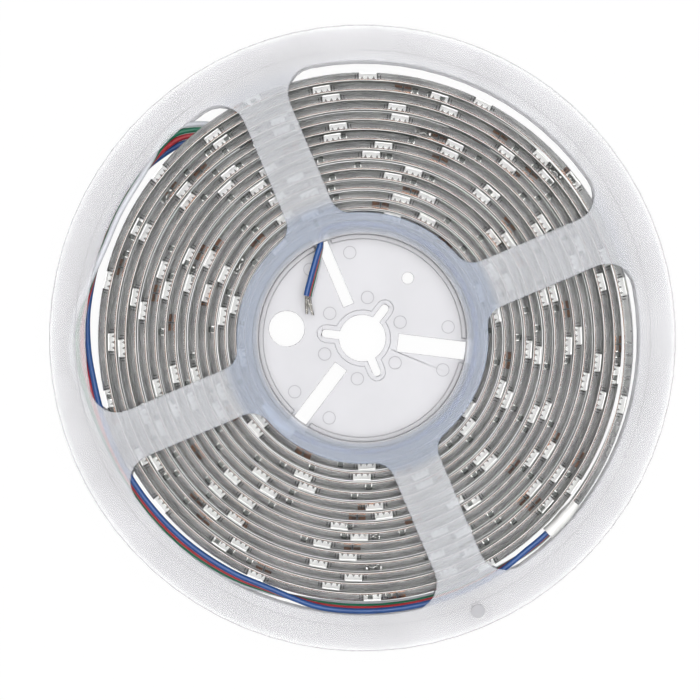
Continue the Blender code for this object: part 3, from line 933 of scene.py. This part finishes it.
# Each chip's distance past a light and height above the strip's middle
CHIP_PLACES = ((9.5, 3.2), (12.5 + 33.3, 2.6), (8.0 + 66.6, 3.4))
for number, (offset, z) in enumerate(CHIP_PLACES):
    half = CHIP_L / 2
    low, high = z - CHIP_W / 2, z + CHIP_W / 2
    chip = boxes_item([(-half + CHIP_END, half - CHIP_END, 0, CHIP_H, low, high)])
    ends = boxes_item([
        (-half, -half + CHIP_END, 0, CHIP_END_H, low, high),
        (half - CHIP_END, half, 0, CHIP_END_H, low, high),
    ])
    first = light_first + offset * MM
    set_items(f"chip_bodies_{number}", chip, first, group_pitch, chip_ceramic)
    set_items(f"chip_ends_{number}", ends, first, group_pitch, solder)

# Each pair of marks: distance from the light's middle, half length, tallness, lowest and highest
TICKS = ((3.6, 0.12, 0.9, 3.1, 4.3), (2.8, 0.15, 1.3, 3.0, 4.0))
ticks = [
    (side * x - half, side * x + half, 0, tall, low, high)
    for x, half, tall, low, high in TICKS
    for side in (-1, 1)
]
set_items("printed_ticks", boxes_item(ticks), light_first, light_pitch, dark_marking)

PAD_X, PAD_HALF_L, PAD_HALF_W, PAD_T = 1.30, 1.05, 0.9, 0.14
PAD_ROWS = (-3.6, -1.2, 1.2, 3.8)
CUT_LINE = (-0.12, 0.12, 0, 0.9, -4.7, 4.3)
pads = [
    (side * PAD_X - PAD_HALF_L, side * PAD_X + PAD_HALF_L, 0, PAD_T, z - PAD_HALF_W, z + PAD_HALF_W)
    for side in (-1, 1)
    for z in PAD_ROWS
]
set_items("copper_pads", boxes_item(pads), group_pitch, group_pitch, bare_copper)
set_items("cut_lines", boxes_item([CUT_LINE]), group_pitch, group_pitch, dark_marking)

# %% [markdown]
# Every half metre two boards are soldered together, which leaves lumps of solder and crooked wire ends.
# Both come from one item: four flattened spheres, and two round wires through a few points each.

# %% Soldered joints
LIGHTS_PER_BOARD = 15
JOINT_PITCH = LIGHTS_PER_BOARD * light_pitch
# Places along and up for the lumps, and each wire's height and how far it bends
LUMPS = ((-1.6, 3.4), (1.5, 3.2), (-1.4, 0.9), (1.6, 0.6))
LUMP_L, LUMP_H, LUMP_W = 0.9, 0.42, 0.65
LUMP_RISE = 0.2
WIRES = ((3.3, 0.5), (0.8, 0.35))
WIRE_D = 0.45
WIRE_SIDES = 6
# A ready-made sphere has its faces in another order each run, so they are sorted along this slant
SORT_WAY = Vector((1, 0.618, 0.377))


def joint_item():
    """Lumps of solder and the crooked wire ends that bridge two boards, in millimetres."""
    bm = bmesh.new()
    for x, z in LUMPS:
        lump = bmesh.ops.create_uvsphere(bm, u_segments=10, v_segments=6, radius=1.0)
        for vertex in lump["verts"]:
            co = vertex.co
            vertex.co = Vector((x + co.x * LUMP_L, LUMP_RISE + co.y * LUMP_H, z + co.z * LUMP_W)) * MM
    for z, bend in WIRES:
        points = (
            (-2.6, 0.25, z),
            (-1.2, 0.55, z + bend * 0.4),
            (0, 0.75 + bend * 0.5, z + bend),
            (1.0, 0.45, z - bend * 0.2),
            (2.5, 0.25, z),
        )
        rings = [
            ring_loop(bm, [
                Vector((x, y + WIRE_D / 2 * math.cos(a), height + WIRE_D / 2 * math.sin(a))) * MM
                for a in around(WIRE_SIDES)
            ])
            for x, y, height in points
        ]
        skin(bm, rings)
    bm.verts.sort(key=lambda vertex: vertex.co.dot(SORT_WAY))
    bm.edges.sort(key=lambda edge: (edge.verts[0].co + edge.verts[1].co).dot(SORT_WAY))
    bm.faces.sort(key=lambda face: face.calc_center_median().dot(SORT_WAY))
    return bm


set_items("solder_joints", joint_item(), JOINT_PITCH, JOINT_PITCH, solder, 60)

# %% [markdown]
# A shrink sleeve covers the soldered joint between the strip and a lead. Shrunk tube shows what is inside
# it: it is tall over the strip, swells over the solder, and gets lower and thicker towards the lead. So it
# is lofted along a short arc, with a soft oblong section whose size changes on the way.

# %% Shrink sleeves
SLEEVE_WALL = 0.0003
SLEEVE_OVERLAP = 0.0024
SLEEVE_L = 0.0118
SLEEVE_HALF_T = 0.00142
SLEEVE_SWELL = 0.00022
SLEEVE_SPREAD = 0.00040
SLEEVE_SWELL_RATE = 1.25
SLEEVE_LOWERING = 0.13
SLEEVE_LOWERING_POWER = 1.6
SLEEVE_INSET = 0.00005
SLEEVE_RIPPLE = 0.025
SLEEVE_STATIONS = 18
SECTION_POINTS = 28
shrink_tube = grained(
    "shrink_tube", (0.62, 0.615, 0.60), (0.75, 0.745, 0.73), 1500, 260, 1.6, 0.00003,
    Roughness=0.38, Coat_Weight=0.15,
)


def sleeve_section(half_across, half_up, share):
    """A soft oblong as (across, up) pairs."""
    section = []
    for angle in around(SECTION_POINTS):
        x = math.copysign(abs(math.cos(angle)) ** 0.62, math.cos(angle)) * half_across
        y = math.copysign(abs(math.sin(angle)) ** 0.45, math.sin(angle)) * half_up
        ripple = 1 + SLEEVE_RIPPLE * math.sin(5 * angle + 9 * share)
        section.append((x * ripple, y))
    return section


def make_sleeve(name, node, bearing, radius, way):
    """A sleeve on an arc from the strip's end at a bearing, way being 1 or -1 round the axis."""
    low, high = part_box(node)
    height = high.z - low.z
    middle = (high.z + low.z) / 2
    strip_end = bearing - way * SLEEVE_OVERLAP / radius
    bm = bmesh.new()
    outer = []
    inner = []
    for k in range(SLEEVE_STATIONS + 1):
        share = k / SLEEVE_STATIONS
        swell = math.sin(math.pi * min(share * SLEEVE_SWELL_RATE, 1)) ** 2
        across = SLEEVE_HALF_T + SLEEVE_SWELL * swell + SLEEVE_SPREAD * share
        up = height / 2 * (1 - SLEEVE_LOWERING * share ** SLEEVE_LOWERING_POWER) - SLEEVE_INSET
        angle = strip_end + way * SLEEVE_L * share / radius
        for rings, wall in ((outer, 0), (inner, SLEEVE_WALL)):
            rings.append(ring_loop(bm, [
                polar(radius + x, angle, middle + y)
                for x, y in sleeve_section(across - wall, up - wall, share)
            ]))
    for rings in (outer, inner):
        for near, far in zip(rings, rings[1:]):
            bridge(bm, near, far)
    bridge(bm, outer[0], inner[0])
    bridge(bm, outer[-1], inner[-1])
    sleeve = mesh_piece(name, bm, 50)
    finish_piece(sleeve, shrink_tube)
    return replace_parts(sleeve, node)


outer_bearing = START_BEARING - math.tau * TURNS
outer_radius = board_face(TURNS).xy.length + STRIP_T / 2 - BOARD_T
inner_radius = START_R - BOARD_T
make_sleeve("outer_shrink_sleeve", "outer_sleeve", outer_bearing, outer_radius, -1)
make_sleeve("inner_shrink_sleeve", "inner_sleeve", START_BEARING, inner_radius, 1)

# %% [markdown]
# The reel's two halves are milky polystyrene. Light scatters in it, so what lies behind shows through
# only as a soft blur, and dark things behind make it look bluish, as thin milk does. A Principled shader
# with part transmission and a rough surface gives the blur. The tint is in its colour, which moves towards
# blue over the roll and stays neutral where only the white ground lies behind.

# %% Milky plastic
BLUE_BEGINS = (HUB_OUTER_R - 0.0022, HUB_OUTER_R + 0.0004)
BLUE_THINS = (0.0375, 0.0375 + 0.004)
BLUE_ENDS = (0.0772 - 0.001, 0.0772 + 0.004)
SPOKE_BLUE = 0.22
MILK_BLUE = (0.60, 0.665, 0.79)
MILK_DRIFT = 0.93
MILK_BUMP = 0.000002


def milky_material(name, neutral, over_roll, transmission, roughness):
    """Milky plastic. over_roll is how much of the blue tint it takes between the roll's radii."""
    material, tree, shader = new_material(
        name, Roughness=roughness, IOR=1.4, Transmission_Weight=transmission
    )
    grain = grain_node(tree, 1500, 50, 2.2)
    place = tree.nodes.new("ShaderNodeTexCoord")
    flat = vector_node(tree, "MULTIPLY", place.outputs["Object"], (1, 1, 0))
    reach = vector_node(tree, "LENGTH", flat)
    rise = range_node(tree, reach, *BLUE_BEGINS)
    fade = range_node(tree, reach, *BLUE_THINS, 1, SPOKE_BLUE)
    fall = range_node(tree, reach, *BLUE_ENDS, 1, 0)
    band = math_node(tree, "MULTIPLY", math_node(tree, "MULTIPLY", rise, fade), fall)
    amount = math_node(tree, "MULTIPLY", band, over_roll)
    tint = mix_node(tree, "RGBA", amount, (*neutral, 1), (*MILK_BLUE, 1))
    drift = range_node(tree, grain.outputs["Mottle"], 0, 1, MILK_DRIFT, 1, kind="LINEAR")
    feed(tree, shader.inputs["Base Color"], vector_node(tree, "SCALE", tint, scale=drift))
    add_bump(tree, shader, grain.outputs["Height"], MILK_BUMP)
    return material


front_milk = milky_material("front_milky_plastic", (0.905, 0.903, 0.915), 1.0, 0.78, 0.26)
rear_milk = milky_material("rear_milky_plastic", (0.605, 0.601, 0.626), 0.3, 0.2, 0.25)
# A darker copy of the milky plastic: painted shade for the ejector marks and the rim dimple.
shade_painted_milk = milky_material("milky_plastic_painted_shade", (0.430, 0.427, 0.450), 0.0, 0.2, 0.25)

# %% [markdown]
# The CAD meshes of the halves have the right shape but sharp corners and loose triangles. A copy of each
# is merged, its flat faces are joined up again, and a narrow bevel rounds the moulded edges. Where the
# bevel folds a sliver of the web over, that sliver is taken out. The spigot is drawn snug in the front
# half's tube, and the walls that meet there both get the rear half's plastic, so that the joint doesn't
# show as a dark ring.

# %% Reel halves with rounded edges
EDGE_ROUNDING = 0.00018
HUB_WALL_NEAR = 0.0296
HUB_WALL_FAR = 0.0300
SPIGOT_R = 0.0294
SPIGOT_SNUG_R = 0.02966
CLOSE = 0.0001
LEVEL_FACE = 0.999
FACING_DOWN = -0.9
BEVEL_ANGLE = math.radians(40)
SHARP_ANGLE = math.radians(35)


def merged_copy(node):
    """A copy of a CAD mesh with its triangles joined up and the spigot's gap closed."""
    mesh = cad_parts[node].data.copy()
    bm = bmesh.new()
    bm.from_mesh(mesh)
    bmesh.ops.remove_doubles(bm, verts=bm.verts, dist=1e-6)
    for vertex in bm.verts:
        if abs(vertex.co.xy.length - SPIGOT_R) < CLOSE and vertex.co.z > WEB_TOP - CLOSE:
            vertex.co.xy *= SPIGOT_SNUG_R / vertex.co.xy.length
    bmesh.ops.join_triangles(
        bm, faces=bm.faces,
        angle_face_threshold=math.radians(1), angle_shape_threshold=math.radians(180),
    )
    bm.to_mesh(mesh)
    bm.free()
    return mesh


def bevelled(half):
    """The object's mesh with its edges rounded and the folded slivers taken out."""
    bevel = half.modifiers.new("rounding", "BEVEL")
    bevel.width = EDGE_ROUNDING
    bevel.segments = 2
    bevel.limit_method = "ANGLE"
    bevel.angle_limit = BEVEL_ANGLE
    bevel.use_clamp_overlap = False
    bpy.context.view_layer.update()
    mesh = bpy.data.meshes.new_from_object(half.evaluated_get(bpy.context.evaluated_depsgraph_get()))
    half.modifiers.clear()
    bm = bmesh.new()
    bm.from_mesh(mesh)
    folded = [
        face for face in bm.faces
        if face.normal.z < FACING_DOWN and abs(face.calc_center_median().z - WEB_TOP) < CLOSE
    ]
    bmesh.ops.delete(bm, geom=folded, context="FACES_ONLY")
    bm.to_mesh(mesh)
    bm.free()
    return mesh


def rounded_half(name, node, material):
    mesh = merged_copy(node)
    mesh.name = name
    half = link(name, mesh)
    half.data = bevelled(half)
    half.data.shade_smooth()
    half.data.set_sharp_from_angle(angle=SHARP_ANGLE)
    finish_piece(half, material)
    half.data.materials.append(rear_milk)
    for face in half.data.polygons:
        face.use_smooth = abs(face.normal.z) < LEVEL_FACE
        reach = [half.data.vertices[v].co.xy.length for v in face.vertices]
        if min(reach) > HUB_WALL_NEAR and max(reach) < HUB_WALL_FAR:
            face.material_index = 1
    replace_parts(half, node)
    print(f"{name}: {len(half.data.polygons)} faces")


rounded_half("front_reel_half", "front_half", front_milk)
rounded_half("rear_reel_half", "rear_half", rear_milk)

# %% [markdown]
# The mould's ejector pins left faint round marks on the web. Six stand in a ring round the bore, and two
# flank each slot. Each mark is a low ring of plastic painted darker than the web, as painted shade at its
# edges. The plastic came into the mould at a dimple in the front rim, and a small disc of the same darker
# plastic lies in it, painted shade for the dimple's hollow.

# %% Round marks
MARK_R = 0.0019
MARK_WALL = 0.00022
MARK_H = 0.00030
MARK_SEGMENTS = 28
INNER_MARKS_R = 0.0117
OUTER_MARKS_R = 0.0247
SLOT_BEARINGS = (330, 90, 210)
SLOT_FLANK = 14.5
DIMPLE_DISTANCE = 0.0843
DIMPLE_BEARING = 270
DIMPLE_FLOOR = (REEL_HEIGHT - 0.0004, REEL_HEIGHT - 0.0003)
mark_places = [polar(INNER_MARKS_R, math.radians(60 * k)) for k in range(6)]
mark_places += [
    polar(OUTER_MARKS_R, math.radians(bearing + side * SLOT_FLANK))
    for bearing in SLOT_BEARINGS
    for side in (-1, 1)
]
ring_section = (
    (MARK_R - MARK_WALL, WEB_TOP),
    (MARK_R - MARK_WALL, WEB_TOP + MARK_H),
    (MARK_R, WEB_TOP + MARK_H),
    (MARK_R, WEB_TOP),
)


def circle(bm, middle, radius, height):
    return ring_loop(bm, [middle + polar(radius, a, height) for a in around(MARK_SEGMENTS)])


bm = bmesh.new()
for place in mark_places:
    rings = [circle(bm, place, *corner) for corner in ring_section]
    for near, far in zip(rings, rings[1:] + rings[:1]):
        bridge(bm, near, far)
dimple = polar(DIMPLE_DISTANCE, math.radians(DIMPLE_BEARING))
skin(bm, [circle(bm, dimple, MARK_R, height) for height in DIMPLE_FLOOR])
marks = mesh_piece("ejector_marks", bm)
# The marks and the dimple's disc take the darker plastic as painted shade.
finish_piece(marks, shade_painted_milk)
print(f"{len(mark_places)} marks")

# %% [markdown]
# The ground is a white sheet. To the camera, and seen through plastic or gel, it glows an even white, as
# the photograph's ground does, with a small share of its shading left, so that it keeps a faint shadow.
# Everything else sees a plain pale floor.

# %% Ground
GROUND_SIZE = 3.0
GROUND_DROP = 0.0002
GLOW_SHARE = 0.96
GLOW_THROUGH = 0.60
bm = bmesh.new()
bmesh.ops.create_grid(bm, x_segments=1, y_segments=1, size=GROUND_SIZE / 2)
for vertex in bm.verts:
    vertex.co.z = -GROUND_DROP
ground_mesh = bpy.data.meshes.new("ground")
bm.to_mesh(ground_mesh)
bm.free()
ground = link("ground", ground_mesh)


def seen_share(tree):
    """How much the ground glows: most of all straight to the camera, less through clear pieces."""
    path = tree.nodes.new("ShaderNodeLightPath")
    through = math_node(tree, "MULTIPLY", path.outputs["Is Transmission Ray"], GLOW_THROUGH)
    mirrored = math_node(tree, "MULTIPLY", path.outputs["Is Glossy Ray"], GLOW_SHARE)
    straight = math_node(tree, "MULTIPLY", path.outputs["Is Camera Ray"], GLOW_SHARE)
    return math_node(tree, "MAXIMUM", math_node(tree, "MAXIMUM", through, mirrored), straight)


ground_material, tree, shader = new_material("white_ground", Roughness=0.9)
shader.inputs["Base Color"].default_value = (0.8, 0.8, 0.8, 1)
glow = tree.nodes.new("ShaderNodeEmission")
mix = tree.nodes.new("ShaderNodeMixShader")
tree.links.new(seen_share(tree), mix.inputs["Fac"])
tree.links.new(shader.outputs[0], mix.inputs[1])
tree.links.new(glow.outputs[0], mix.inputs[2])
tree.links.new(mix.outputs[0], tree.nodes["Material Output"].inputs["Surface"])
ground.data.materials.append(ground_material)

# %% [markdown]
# The room is an even dim light with one large soft light in it, almost straight overhead, which draws
# the fine lines on the gel. Both come from the world. The camera itself sees plain white there.

# %% Soft room
WORLD_LEVEL = 0.36
SOFTBOX_LEVEL = 5.8
SOFTBOX_WAY = Vector((0.05, 0.0, 1.0)).normalized()
SOFTBOX_EDGE = (0.84, 0.96)
world = bpy.data.worlds.new("soft_room")
bpy.context.scene.world = world
world.use_nodes = True
tree = world.node_tree
back = tree.nodes["Background"]
back.inputs["Color"].default_value = (1, 1, 1, 1)
place = tree.nodes.new("ShaderNodeTexCoord")
along = vector_node(tree, "DOT_PRODUCT", place.outputs["Generated"], SOFTBOX_WAY)
light = range_node(tree, along, *SOFTBOX_EDGE, WORLD_LEVEL, SOFTBOX_LEVEL)
path = tree.nodes.new("ShaderNodeLightPath")
white = mix_node(tree, "FLOAT", path.outputs["Is Camera Ray"], light, 1.0)
feed(tree, back.inputs["Strength"], white)

bpy.context.scene.view_settings.view_transform = "Standard"
